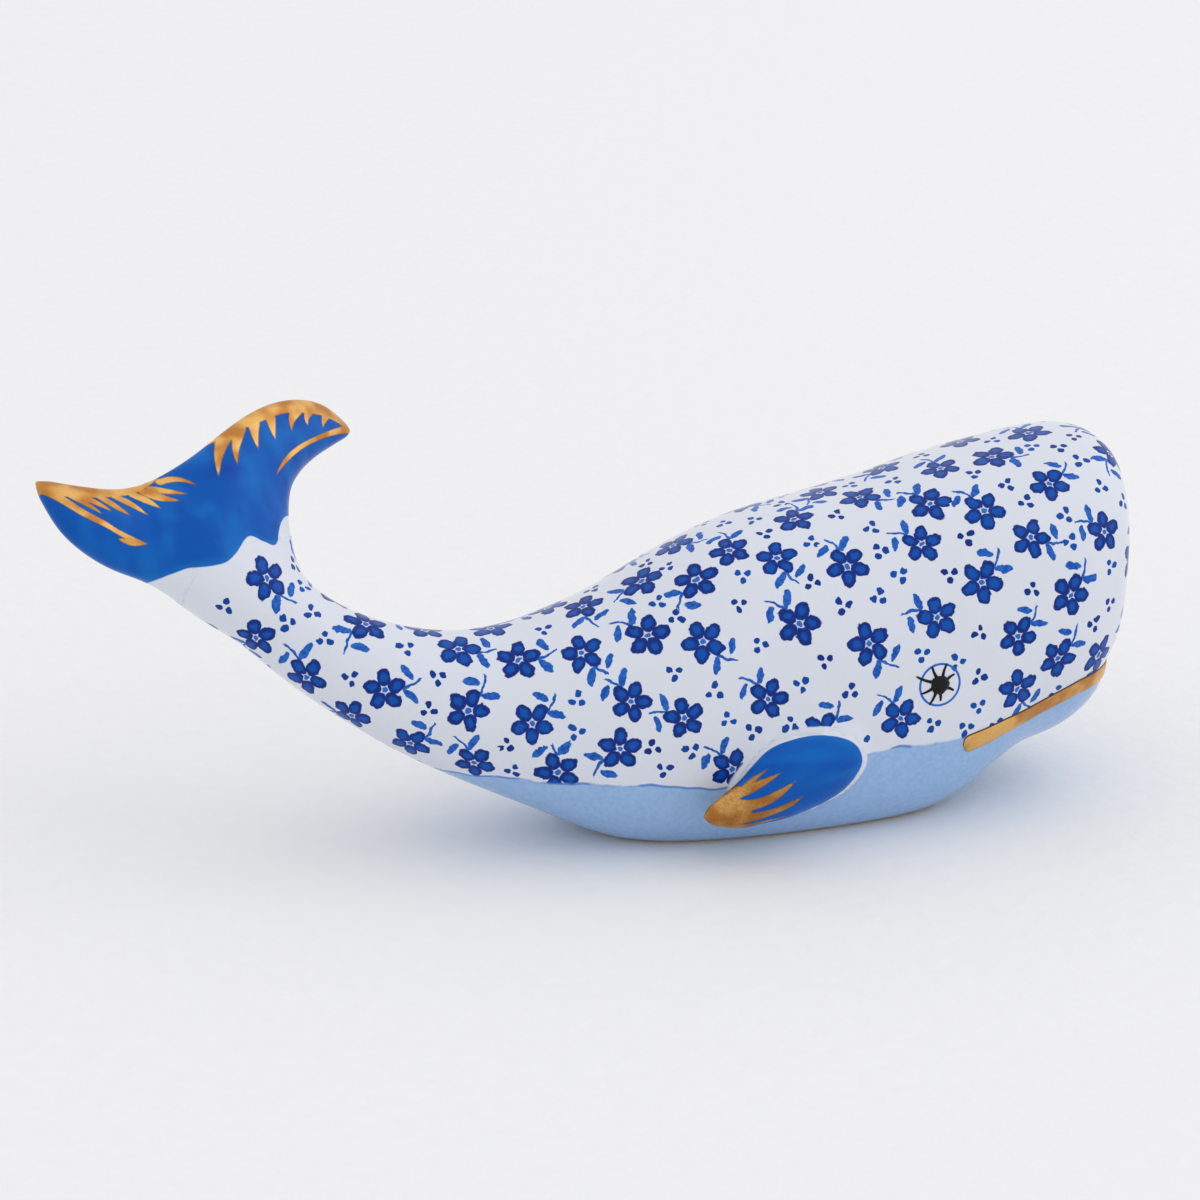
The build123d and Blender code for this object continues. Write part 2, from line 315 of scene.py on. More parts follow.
# The first flower goes far from the snout, and START_LEAD keeps the sites near it open
START_LEAD = 20
start = np.linalg.norm(sites - sites[0], axis=1) + START_LEAD
start = np.minimum(start, eye_gap + EYE_ROOM)
free = (site_belly < -FLOWER_CLEAR) & (site_cobalt < -FLOWER_CLEAR) & (eye_gap > EYE_CLEAR)
flowers = widest_gaps(start, free, FLOWER_GAP)
near_flower = np.linalg.norm(sites[:, None] - sites[flowers][None], axis=2).min(axis=1)
near_flower = np.minimum(near_flower - SPRIG_ROOM, eye_gap)
free = (site_belly < -BERRY_CLEAR) & (site_cobalt < -BERRY_CLEAR)
berries = widest_gaps(near_flower, free, BERRY_GAP)
motifs = sites[flowers + berries]
is_berry = np.arange(len(motifs)) >= len(flowers)

# Each face of the skin belongs to one sprig, and its corners carry their flat place in mm
# from that sprig's middle, turned as the sprig is.
corner = np.array([face + face[:1] if len(face) == 3 else face for face in skin_faces])
middle = skin_points[corner].mean(axis=1)
weight = np.where(is_berry, BERRY_REACH, FLOWER_REACH) ** 2
own = np.empty(len(middle), int)
BATCHES = 8
for part in np.array_split(np.arange(len(middle)), BATCHES):
    away = ((middle[part][:, None] - motifs[None]) ** 2).sum(-1) - weight
    own[part] = np.argmin(away, axis=1)
sprig_out = skin_out[coarse].reshape(-1, 3)[flowers + berries]
spin = luck.uniform(0, 2 * np.pi, len(motifs))
size = luck.uniform(*SPRIG_SIZES, len(motifs))
lean = np.stack((np.cos(spin), np.sin(spin), np.cos(spin * 3)), -1)
sprig_right = unit(np.cross(sprig_out, lean))
sprig_up = np.cross(sprig_out, sprig_right)
offset = skin_points[corner] - motifs[own][:, None]
flat = np.stack([(offset * way[own][:, None]).sum(-1) for way in (sprig_right, sprig_up)], -1)
flat /= size[own][:, None, None]
flat = np.concatenate([flat[k, :len(face)] for k, face in enumerate(skin_faces)])

skin_paint = {
    "belly": belly,
    "cobalt": cobalt,
    "halo": np.full(len(skin_points), FAR),
    "berry": is_berry[own].astype(float),
    "tone": luck.uniform(0, 1, len(motifs))[own],
}
body = make_piece("body", skin_points, skin_faces, skin_paint)
body.data.uv_layers.new(name="Sprig").data.foreach_set("uv", flat.astype(np.float32).ravel())


def rgb(red, green, blue):
    """Linear colour of a paint chip given in 0 to 255: ((c + 0.055) / 1.055) ^ 2.4."""
    return tuple(((c / 255 + 0.055) / 1.055) ** 2.4 for c in (red, green, blue)) + (1,)


def wire(tree, value, socket):
    """Sets a socket to a number, colour or vector, or links another node's output to it."""
    if isinstance(value, bpy.types.NodeSocket):
        tree.links.new(value, socket)
    else:
        socket.default_value = value


def calc(tree, operation, *values):
    """One Math node: the operation on its one, two or three values."""
    node = tree.nodes.new("ShaderNodeMath")
    node.operation = operation
    for k, value in enumerate(values):
        wire(tree, value, node.inputs[k])
    return node.outputs[0]


def times(tree, first, second):
    """Product of two values."""
    return calc(tree, "MULTIPLY", first, second)


def length(tree, x, y):
    """Square root of x^2 + y^2."""
    return calc(tree, "SQRT", calc(tree, "ADD", times(tree, x, x), times(tree, y, y)))


def between(tree, value, low, high, start=0.0, end=1.0):
    """Smooth step: start up to low, end from high on, and an S curve between."""
    node = tree.nodes.new("ShaderNodeMapRange")
    node.interpolation_type = "SMOOTHSTEP"
    for k, number in enumerate((value, low, high, start, end)):
        wire(tree, number, node.inputs[k])
    return node.outputs[0]


def tint(tree, share, under, over):
    """Colour under, covered by colour over as far as the share says."""
    node = tree.nodes.new("ShaderNodeMix")
    node.data_type = "RGBA"
    wire(tree, share, node.inputs["Factor"])
    wire(tree, under, node.inputs["A"])
    wire(tree, over, node.inputs["B"])
    return node.outputs["Result"]


def mottle(tree, place, grain, detail=2.0):
    """Noise from 0 to 1 with so many blotches to a millimetre."""
    node = tree.nodes.new("ShaderNodeTexNoise")
    wire(tree, place, node.inputs["Vector"])
    node.inputs["Scale"].default_value = grain
    node.inputs["Detail"].default_value = detail
    return node.outputs["Fac"]


def painted(tree, area):
    """The float that the piece's mesh carries for an area."""
    node = tree.nodes.new("ShaderNodeAttribute")
    node.attribute_name = area
    return node.outputs["Fac"]


def new_finish(name):
    """A material, its node tree, its shader and the place on the piece in mm."""
    finish = bpy.data.materials.new(name)
    finish.use_nodes = True
    tree = finish.node_tree
    shader = tree.nodes["Principled BSDF"]
    where = tree.nodes.new("ShaderNodeTexCoord")
    scale = tree.nodes.new("ShaderNodeMapping")
    scale.inputs["Scale"].default_value = (1 / MM, 1 / MM, 1 / MM)
    tree.links.new(where.outputs["Object"], scale.inputs["Vector"])
    return finish, tree, shader, scale.outputs["Vector"]


def coated(tree, shader, colour, roughness, height, deep):
    """Gives the shader its colour and roughness, and a bump from a height of 0 to 1 that
    stands for so many mm."""
    bump = tree.nodes.new("ShaderNodeBump")
    bump.inputs["Distance"].default_value = deep * MM
    tree.links.new(colour, shader.inputs["Base Color"])
    tree.links.new(roughness, shader.inputs["Roughness"])
    tree.links.new(height, bump.inputs["Height"])
    tree.links.new(bump.outputs["Normal"], shader.inputs["Normal"])


def oval(tree, u, v, middle, turn, half):
    """1 at the edge of a turned oval, less inside it: sqrt((x / a)^2 + (y / b)^2)."""
    du = calc(tree, "SUBTRACT", u, middle[0])
    dv = calc(tree, "SUBTRACT", v, middle[1])
    c, s = math.cos(turn), math.sin(turn)
    x = calc(tree, "ADD", times(tree, du, c / half[0]), times(tree, dv, s / half[0]))
    y = calc(tree, "SUBTRACT", times(tree, dv, c / half[1]), times(tree, du, s / half[1]))
    return length(tree, x, y)


def round_rosette(tree, u, v, petals, out, half):
    """The same oval repeated round the middle, and the distance from there: the angle is
    folded into one petal's share."""
    share = 2 * math.pi / petals
    r = length(tree, u, v)
    angle = calc(tree, "ADD", calc(tree, "ARCTAN2", v, u), math.pi)
    angle = calc(tree, "SUBTRACT", calc(tree, "MODULO", angle, share), share / 2)
    x = times(tree, r, calc(tree, "COSINE", angle))
    y = times(tree, r, calc(tree, "SINE", angle))
    return oval(tree, x, y, (out, 0), 0, half), r


COBALT = rgb(0, 84, 174)
COBALT_VIOLET = rgb(6, 66, 162)
COBALT_LIGHT = rgb(18, 112, 194)

# Grain of the tail's brush strokes along x, y and z, and how light its streaks are
TAIL_STREAKS, TAIL_LIGHT = (0.9, 0.9, 0.25), 0.6


def cobalt_over(tree, place, base, depth, streak_grain, light_share):
    """Base colour covered with cobalt wherever the depth is over 0: paler in the first
    millimetre, then pooled in clouds and streaked along the brush."""
    stretch = tree.nodes.new("ShaderNodeMapping")
    stretch.inputs["Scale"].default_value = streak_grain
    tree.links.new(place, stretch.inputs["Vector"])
    streaky = mottle(tree, stretch.outputs["Vector"], 0.3, 1.5)
    blue = tint(tree, between(tree, mottle(tree, place, 0.16), 0.50, 0.72), COBALT, COBALT_VIOLET)
    blue = tint(tree, between(tree, streaky, 0.40, 0.70, 0, light_share), blue, COBALT_LIGHT)
    blue = tint(tree, between(tree, depth, 0.15, 1.1, 0.5, 0), blue, COBALT_LIGHT)
    return tint(tree, between(tree, depth, -0.08, 0.10), base, blue)


WHITE_GLAZE = rgb(220, 225, 236)
WARM_GLAZE = rgb(216, 220, 228)
DEEP_COBALT = rgb(4, 42, 126)
MID_COBALT = rgb(0, 79, 170)
LINE_COBALT = rgb(40, 104, 194)
BELLY_WASH = rgb(146, 180, 222)
BELLY_PALE = rgb(158, 189, 227)
BARE_BISCUIT = rgb(205, 196, 180)
BISCUIT_SHADE = rgb(178, 168, 152)
PAINTED_VENT_SHADE = rgb(58, 52, 46)


def white_glaze(tree, place):
    """White glaze with warmer clouds in it."""
    return tint(tree, mottle(tree, place, 0.25), WHITE_GLAZE, WARM_GLAZE)


def wander(tree, place):
    """Wandering of a brushed edge, up to 0.45 mm to either side."""
    return calc(tree, "MULTIPLY_ADD", mottle(tree, place, 0.35, 1.0), 0.9, -0.45)


def brushed_cobalt(tree, place):
    """Depth inside the cobalt: what the mesh carries, plus 0.45 of the wandering."""
    return calc(tree, "MULTIPLY_ADD", wander(tree, place), 0.45, painted(tree, "cobalt"))


# Measures of a sprig in its own flat units: the flower's height over the middle and the
# edge of its heart, its petals' number, distance and half sizes, the stem's bend, edge
# and two ends, each leaf's middle, turn and half sizes, and the dots of a berry. At an
# edge or end, the paint fades between its two numbers.
FLOWER_UP, HEART_EDGE = 0.55, (0.20, 0.27)
PETALS = 5, 1.02, (0.74, 0.58)
STEM_MIDDLE, STEM_BEND, STEM_EDGE = -0.6, 0.24, (0.10, 0.15)
STEM_FOOT, STEM_TOP = (-2.5, -2.35), (-0.9, -0.7)
LEFT_LEAF = (-0.62, -1.45), 0.75, (0.78, 0.32)
RIGHT_LEAF = (1.25, -1.30), math.pi / 2 - 0.95, (0.72, 0.30)
BERRY_DOTS = 3, 0.46, (0.30, 0.27)

glaze, tree, shader, place = new_finish("painted_porcelain_glaze")
uv = tree.nodes.new("ShaderNodeUVMap")
uv.uv_map = "Sprig"
split = tree.nodes.new("ShaderNodeSeparateXYZ")
tree.links.new(uv.outputs["UV"], split.inputs["Vector"])
wobble_u = calc(tree, "MULTIPLY_ADD", mottle(tree, place, 0.9), 0.5, -0.25)
wobble_v = calc(tree, "MULTIPLY_ADD", mottle(tree, place, 1.3), 0.5, -0.25)
u = calc(tree, "ADD", split.outputs["X"], wobble_u)
v = calc(tree, "ADD", split.outputs["Y"], wobble_v)
tone = painted(tree, "tone")
brush = mottle(tree, place, 2.2, 3.0)

# Flower: five petals round a light middle, on a bent stem with two leaves
petal, from_heart = round_rosette(tree, u, calc(tree, "SUBTRACT", v, FLOWER_UP), *PETALS)
petals = between(tree, petal, 0.93, 1.05, 1, 0)
heart = between(tree, from_heart, *HEART_EDGE, 1, 0)
bend = calc(tree, "SUBTRACT", v, STEM_MIDDLE)
stem = calc(tree, "SUBTRACT", u, times(tree, times(tree, bend, bend), STEM_BEND))
stem = between(tree, calc(tree, "ABSOLUTE", stem), *STEM_EDGE, 1, 0)
stem = times(tree, stem, between(tree, v, *STEM_FOOT))
stem = times(tree, stem, between(tree, v, *STEM_TOP, 1, 0))
leaf = calc(tree, "MINIMUM", oval(tree, u, v, *LEFT_LEAF), oval(tree, u, v, *RIGHT_LEAF))
leaves = between(tree, leaf, 0.9, 1.05, 1, 0)

# Berries: three dots close together
dots = between(tree, round_rosette(tree, u, v, *BERRY_DOTS)[0], 0.9, 1.05, 1, 0)

berry = painted(tree, "berry")
flower = calc(tree, "SUBTRACT", 1, berry)
petals = times(tree, petals, flower)
heart = times(tree, heart, flower)
fine = times(tree, calc(tree, "MAXIMUM", stem, leaves), flower)
dots = times(tree, dots, berry)

base = white_glaze(tree, place)
wash = tint(tree, between(tree, brush, 0.35, 0.65), LINE_COBALT, MID_COBALT)
base = tint(tree, fine, base, wash)
base = tint(tree, dots, base, tint(tree, tone, MID_COBALT, DEEP_COBALT))
pool = calc(tree, "ADD", between(tree, petal, 0.15, 0.85), times(tree, tone, 0.35))
pool = calc(tree, "ADD", pool, calc(tree, "MULTIPLY_ADD", brush, 0.9, -0.55))
base = tint(tree, petals, base, tint(tree, between(tree, pool, 0.2, 1.0), MID_COBALT, DEEP_COBALT))
base = tint(tree, heart, base, LINE_COBALT)

# Blue ring brushed round each eye: its half sizes, and half its line's width as a share
EYE_RING, RING_EDGE = (2.40, 2.46), (0.045, 0.070)
split_place = tree.nodes.new("ShaderNodeSeparateXYZ")
tree.links.new(place, split_place.inputs["Vector"])
x_mm, y_mm, z_mm = split_place.outputs
ring = oval(tree, x_mm, z_mm, (EYE_X, EYE_Z), 0, EYE_RING)
ring = calc(tree, "ABSOLUTE", calc(tree, "SUBTRACT", ring, 1))
ring = calc(tree, "ADD", ring, calc(tree, "MULTIPLY_ADD", brush, 0.03, -0.015))
ring = between(tree, ring, *RING_EDGE, 1, 0)
ring = times(tree, ring, between(tree, calc(tree, "ABSOLUTE", y_mm), FLANK_Y, FLANK_Y + 1))
base = tint(tree, ring, base, LINE_COBALT)

# Pale blue belly with a darker brushed edge
belly_depth = calc(tree, "ADD", painted(tree, "belly"), wander(tree, place))
speckle = mottle(tree, place, 1.6, 5.0)
belly_colour = tint(tree, between(tree, speckle, 0.3, 0.7), BELLY_WASH, BELLY_PALE)
base = tint(tree, between(tree, belly_depth, -0.10, 0.22), base, belly_colour)
rim = calc(tree, "ABSOLUTE", calc(tree, "SUBTRACT", belly_depth, 0.05))
rim = between(tree, rim, 0.08, 0.26, 0.75, 0)
dashes = between(tree, mottle(tree, place, 0.33), 0.38, 0.56)
base = tint(tree, times(tree, rim, dashes), base, LINE_COBALT)

# White glaze pooled in the fillets of the flippers
base = tint(tree, between(tree, painted(tree, "halo"), 0.25, 0.45, 1, 0), base, WHITE_GLAZE)

# Cobalt of the tail run down on to the stock
base = cobalt_over(tree, place, base, brushed_cobalt(tree, place), TAIL_STREAKS, TAIL_LIGHT)

# Bare clay at the edge of the foot and under it, and painted shade in the vent hole: the heights in mm
# at which each fades, and the distances from the vent's middle
FOOT_TOP, VENT_FOOT, VENT_TOP, VENT_MOUTH = (0.30, 0.55), (0.2, 0.6), (4, 5), (1.62, 1.72)
foot = calc(tree, "ADD", z_mm, calc(tree, "MULTIPLY_ADD", mottle(tree, place, 0.6), 0.5, -0.25))
foot = between(tree, foot, *FOOT_TOP, 1, 0)
clay = between(tree, mottle(tree, place, 3.0, 6.0), 0.35, 0.7)
base = tint(tree, foot, base, tint(tree, clay, BARE_BISCUIT, BISCUIT_SHADE))
# Painted shade: the walls and roof of the vent's recess are coloured dark brown for the shade of the
# hollow inside
vent_shade = between(tree, length(tree, x_mm, y_mm), *VENT_MOUTH, 1, 0)
vent_shade = times(tree, vent_shade, between(tree, z_mm, *VENT_TOP, 1, 0))
vent_shade = times(tree, vent_shade, between(tree, z_mm, *VENT_FOOT))
base = tint(tree, vent_shade, base, PAINTED_VENT_SHADE)

# Glossy glaze over a slightly lumpy casting, dull and gritty where the clay is bare
shine = calc(tree, "MULTIPLY_ADD", mottle(tree, place, 0.8), 0.10, 0.06)
shine = calc(tree, "MAXIMUM", shine, times(tree, foot, 0.7))
lumps = times(tree, mottle(tree, place, 0.12, 0.0), 0.8)
lumps = calc(tree, "MULTIPLY_ADD", mottle(tree, place, 0.7, 1.0), 0.04, lumps)
lumps = calc(tree, "ADD", lumps, times(tree, foot, times(tree, speckle, 0.3)))
coated(tree, shader, base, shine, lumps, 0.2)
shader.inputs["Specular IOR Level"].default_value = 0.16
body.data.materials.append(glaze)
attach(body, "root")
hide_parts("body_casting")


# Lip. A raised bead of porcelain round the jaw, covered in satin gold after the glaze
# firing, with a thin dark line of bare paint along both of its edges.
LIP_STEPS, LIP_ROUND = 300, 28
LIP_PROUD, LIP_SUNK, LIP_POWER = 0.24, 0.5, 2.6
LIP_END, LEAST_END = 0.9, 0.0004

# Half widths of the lip in mm at shares of its length from the nearer end
LIP_HALF_WIDTHS = ((0, 0.10, 0.25, 0.5), (1.22, 1.20, 1.18, 1.18))

# Finer skin of the head alone, from the right flank under the chin to the left
HEAD_ROWS, HEAD_COLUMNS, HEAD_FROM = 1200, 1313, 10
HEAD_SWEEP, HEAD_MIDDLE = (352, 188), (20, 0, 20)
head_rows = body_rows(HEAD_ROWS)
head_rows = head_rows[head_rows[:, 0] > HEAD_FROM]
head_angles = np.radians(np.linspace(*HEAD_SWEEP, HEAD_COLUMNS))
head = body_skin(head_rows, head_angles)
head_out = unit(np.cross(np.gradient(head, axis=0), np.gradient(head, axis=1)), SLIVER)
head_out *= np.sign((head_out * (head - HEAD_MIDDLE)).sum())
over = head[..., 2] - np.interp(head[..., 0], *LIP_EDGE.T)


def crossed(before, after):
    """Place where the height over the lip's middle line is zero, on the straight run
    between two neighbouring places of the skin."""
    share = (over[before] / (over[before] - over[after]))[:, None]
    return head[before] + share * (head[after] - head[before])


# Round the front the line is found down each column of the skin, along the flank it is
# found across each row, and the left flank mirrors the right.
LIP_TURN = 33.0
crossing = np.argmax(over < 0, axis=0)
column = np.arange(len(head_angles))
column = column[(crossing > 0) & (head[crossing, column, 0] > LIP_TURN)]
row = crossing[column]
front_line, front_out = crossed((row - 1, column), (row, column)), head_out[row, column]
row = np.nonzero((head_rows[:, 0] < LIP_TURN) & (head_rows[:, 0] > LIP_EDGE[0, 0]))[0][::-1]
column = np.argmax(over[row] < 0, axis=1)
flank_line, flank_out = crossed((row, column - 1), (row, column)), head_out[row, column]
lip_line = np.concatenate((flank_line, front_line, flank_line[::-1] * (1, -1, 1)))
lip_out = np.concatenate((flank_out, front_out, flank_out[::-1] * (1, -1, 1)))


def resampled(line, values, count):
    """Values at so many places spaced evenly by the length of the line."""
    run = np.concatenate(([0], np.cumsum(np.linalg.norm(np.diff(line, axis=0), axis=1))))
    even = np.linspace(0, run[-1], count)
    return np.stack([np.interp(even, run, values[:, k]) for k in range(values.shape[1])], -1)


def bead(line, out, half_width, proud, sunk, around, power):
    """Bead laid on a line: point = line + side * w * |cos|^(2/p) + out * h * |sin|^(2/p),
    where h is the height above the skin or the depth below it."""
    along = unit(np.gradient(line, axis=0))
    side = unit(np.cross(out, along))
    angle = circle(around)
    across = squared_off(np.cos(angle), power)
    rise = squared_off(np.sin(angle), power)
    width = across[None, :] * half_width[:, None]
    height = np.where(rise > 0, proud, sunk) * rise
    height = height[None, :] * (half_width / half_width.max())[:, None] ** 0.5
    return line[:, None] + side[:, None] * width[..., None] + out[:, None] * height[..., None]


lip_path = resampled(lip_line, np.concatenate((lip_line, lip_out), axis=1), LIP_STEPS)
lip_out = unit(lip_path[:, 3:])
lip_path = lip_path[:, :3]
lip_share = np.linspace(0, 1, LIP_STEPS)
from_end = np.minimum(lip_share, 1 - lip_share)
lip_length = np.linalg.norm(np.diff(lip_path, axis=0), axis=1).sum()
end_round = np.clip(from_end * lip_length / LIP_END, 0, 1)
lip_half = np.interp(from_end, *LIP_HALF_WIDTHS)
lip_half = lip_half * np.sqrt(np.clip(1 - (1 - end_round) ** 2, LEAST_END, 1))
lip_bead = bead(lip_path, lip_out, lip_half, LIP_PROUD, LIP_SUNK, LIP_ROUND, LIP_POWER)
lip_points, lip_faces = lofted(lip_bead, lip_path[0], lip_path[-1])
across_lip = np.abs(np.cos(circle(LIP_ROUND)))
lip_edge = (1 - across_lip[None, :] ** (2 / LIP_POWER)) * lip_half[:, None]
lip_paint = {"inside": np.concatenate((lip_edge.ravel(), (0, 0)))}
lip = make_piece("gilt_lip", lip_points, lip_faces, lip_paint)

GOLD_LIGHT = rgb(255, 202, 118)
GOLD_DEEP = rgb(206, 138, 66)
GOLD_BROWN = rgb(128, 80, 40)
GOLD_SHADE = rgb(70, 44, 40)


def gold_leaf(tree, place, worn):
    """Gilding: broad pale and deep passages of the brush, with a brown grain over
    them that takes from six tenths of the worn share up to all of it."""
    broad = mottle(tree, place, 0.35, 1.0)
    fine_grain = mottle(tree, place, 3.5, 3.0)
    leaf = tint(tree, between(tree, broad, 0.35, 0.65), GOLD_DEEP, GOLD_LIGHT)
    return tint(tree, between(tree, fine_grain, 0.2, 0.8, 0.6 * worn, worn), leaf, GOLD_BROWN)


LIP_WORN = 0.35
gilding, tree, shader, place = new_finish("satin_gilding")
bare = between(tree, painted(tree, "inside"), 0.04, 0.13, 1, 0)
base = tint(tree, bare, gold_leaf(tree, place, LIP_WORN), GOLD_SHADE)
metal = calc(tree, "SUBTRACT", 1, calc(tree, "MULTIPLY_ADD", bare, 0.6, 0.2))
tree.links.new(metal, shader.inputs["Metallic"])
satin = calc(tree, "MULTIPLY_ADD", mottle(tree, place, 1.2, 4.0), 0.16, 0.27)
coated(tree, shader, base, satin, mottle(tree, place, 2.5, 4.0), 0.03)
lip.data.materials.append(gilding)
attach(lip, "root")
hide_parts("gilt_lip_band")


# Eyes. A raised drop of glossy black enamel on each flank, with eight short lashes drawn
# out of it with a fine brush; both are fired on top of the glaze.
PUPIL_RADIUS, PUPIL_PROUD, PUPIL_SUNK = 1.12, 0.45, 0.3
PUPIL_ROUND, PUPIL_RINGS, PUPIL_START = 64, 18, 0.03

# Waves round the pupil's edge: how many, how high as a share, and where they start
PUPIL_WAVES = ((3, 0.035, 0.6), (5, 0.03, 2), (8, 0.02, 0))
LASH_TIPS = ((-2.9, 1.35), (-0.97, 2.3), (0.87, 2.5), (1.8, 1.1), (1.74, -0.9), (0.1, -2.0),
             (-1.26, -2.3), (-2.26, -0.83))
LASH_STEPS, LASH_ROUND, LASH_ROOT_SHARE = 14, 10, 0.85
LASH_HALF, LASH_TAPER, LASH_BOW_SHARE = 0.21, 0.09, 0.03
LASH_PROUD, LASH_SUNK = 0.09, 0.08

# Right flank round the eye, which a polynomial in the distances from the eye stands for
EYE_PATCH = 4.5
flank = skin_points[:-2]
from_eye = np.hypot(flank[:, 0] - EYE_X, flank[:, 2] - EYE_Z)
flank = flank[(flank[:, 1] < -FLANK_Y) & (from_eye < EYE_PATCH)]


def flank_terms(x, z):
    """Products of powers of the distances from the eye, up to the third."""
    dx, dz = x - EYE_X, z - EYE_Z
    return np.stack([dx ** a * dz ** b for a in range(4) for b in range(4 - a)], -1)


flank_fit = np.linalg.lstsq(flank_terms(flank[:, 0], flank[:, 2]), flank[:, 1], rcond=None)[0]


def on_flank(x, z, proud):
    """Point over the right flank at x and z, so far out of the skin."""
    return np.stack((x, flank_terms(x, z) @ flank_fit - proud, z), -1)


def pupil():
    """Dome: the height over the skin falls as the square root of 1 - (r / R)^2, and the
    edge wavers by a few percent as a brushed drop does."""
    angle = circle(PUPIL_ROUND)
    share = np.sin(np.linspace(PUPIL_START, 0.5 * np.pi, PUPIL_RINGS))[:, None]
    waver = sum((high * np.sin(count * angle + start) for count, high, start in PUPIL_WAVES), 1)
    radius = share * waver[None, :] * PUPIL_RADIUS
    x = EYE_X + radius * np.cos(angle)
    z = EYE_Z + radius * np.sin(angle)
    proud = PUPIL_PROUD * (1 - share ** 2) ** 0.5 + 0 * x
    skirt = on_flank(x[-1:], z[-1:], np.full((1, len(angle)), -PUPIL_SUNK))
    grid = np.concatenate((on_flank(x, z, proud), skirt))
    middle = np.array(EYE_X), np.array(EYE_Z)
    return lofted(grid, on_flank(*middle, PUPIL_PROUD), on_flank(*middle, -PUPIL_SUNK))


def lash(tip):
    """Tapered stroke from the pupil to the tip: an oval bead laid on the flank, whose half
    width falls from LASH_HALF by LASH_TAPER, and which bows out by a half sine."""
    share = np.linspace(0, 1, LASH_STEPS)
    start = LASH_ROOT_SHARE * PUPIL_RADIUS / math.hypot(*tip)
    reach = start + (1 - start) * share
    bow = LASH_BOW_SHARE * np.sin(np.pi * share)
    x = EYE_X + tip[0] * reach - tip[1] * bow
    z = EYE_Z + tip[1] * reach + tip[0] * bow
    line = on_flank(x, z, 0)
    out = np.tile((0.0, -1.0, 0.0), (len(line), 1))
    half = LASH_HALF - LASH_TAPER * share
    half = half * np.sqrt(np.clip(1 - (2 * share - 1) ** 24, 0.01, 1))
    return lofted(bead(line, out, half, LASH_PROUD, LASH_SUNK, LASH_ROUND, 2.0), line[0], line[-1])


def joined(parts):
    """Several skins as one: points stacked, and each face's numbers moved up past the
    points before it."""
    start = np.cumsum([0] + [len(points) for points, faces in parts])
    points = np.concatenate([points for points, faces in parts])
    faces = [[k + first for k in face] for (dots, part), first in zip(parts, start) for face in part]
    return points, faces


def mirrored(points, faces):
    """The same skin on the other flank: y changes sign and each face is turned round."""
    return points * (1, -1, 1), [face[::-1] for face in faces]


enamel, tree, shader, place = new_finish("black_enamel")
sheen = mottle(tree, place, 2.0, 3.0)
ink = tint(tree, sheen, rgb(8, 7, 9), rgb(20, 18, 22))
polish = calc(tree, "MULTIPLY_ADD", sheen, 0.15, 0.14)
coated(tree, shader, ink, polish, mottle(tree, place, 3.0), 0.05)
shader.inputs["Specular IOR Level"].default_value = 0.2

right_eye = joined([pupil()] + [lash(tip) for tip in LASH_TIPS])
for name, node, shape in (("right_eye", "right_eye_enamel", right_eye),
                          ("left_eye", "left_eye_enamel", mirrored(*right_eye))):
    eye = make_piece(name, *shape, {})
    eye.data.materials.append(enamel)
    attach(eye, "root")
    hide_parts(node)


# Flukes. A two-lobed tail pressed in its own mould, stuck across the end of the stock
# with slip, painted cobalt under the glaze and feathered in gold along its edges.
FLUKE_THICK, FLUKE_FULLNESS, FLUKE_TIP_ROUND = 8.6, 0.35, 1.6
FLUKE_ROWS, FLUKE_COLUMNS = 300, 190
FLUKE_FACE = np.cross(FLUKE_SPAN, FLUKE_AWAY)

# Rows close up toward the tips by so much of a cosine, short of each by so much of its turn
FLUKE_EASE, FLUKE_SHORT = 0.6, 0.03

# From the right tip to the left: leading point, trailing point, both along the span,
# away from the root and toward the face, in half spans, and the thickness share.
FLUKE_STATIONS = np.array([
    (-0.995, 0.715, -0.21, -0.950, 0.735, -0.21, 0.20),
    (-0.985, 0.575, -0.16, -0.855, 0.685, -0.16, 0.27),
    (-0.945, 0.395, -0.09, -0.68, 0.61, -0.10, 0.42),
    (-0.75, 0.16, -0.04, -0.47, 0.57, -0.05, 0.56),
    (-0.47, 0.00, -0.01, -0.25, 0.61, -0.02, 0.72),
    (-0.08, -0.11, 0.00, 0.00, 0.70, 0.00, 1.00),
    (0.26, 0.10, -0.01, 0.25, 0.80, -0.02, 0.81),
    (0.42, 0.32, -0.04, 0.48, 0.86, -0.05, 0.63),
    (0.62, 0.47, -0.09, 0.73, 0.86, -0.10, 0.49),
    (0.87, 0.56, -0.16, 0.94, 0.78, -0.16, 0.36),
    (1.06, 0.61, -0.23, 1.07, 0.665, -0.23, 0.25),
])


def fluke_place(shares):
    """Root + span * s + away * t + face * n, each share times the half span."""
    return FLUKE_ROOT + (shares @ np.stack((FLUKE_SPAN, FLUKE_AWAY, FLUKE_FACE))) * FLUKE_HALF_SPAN


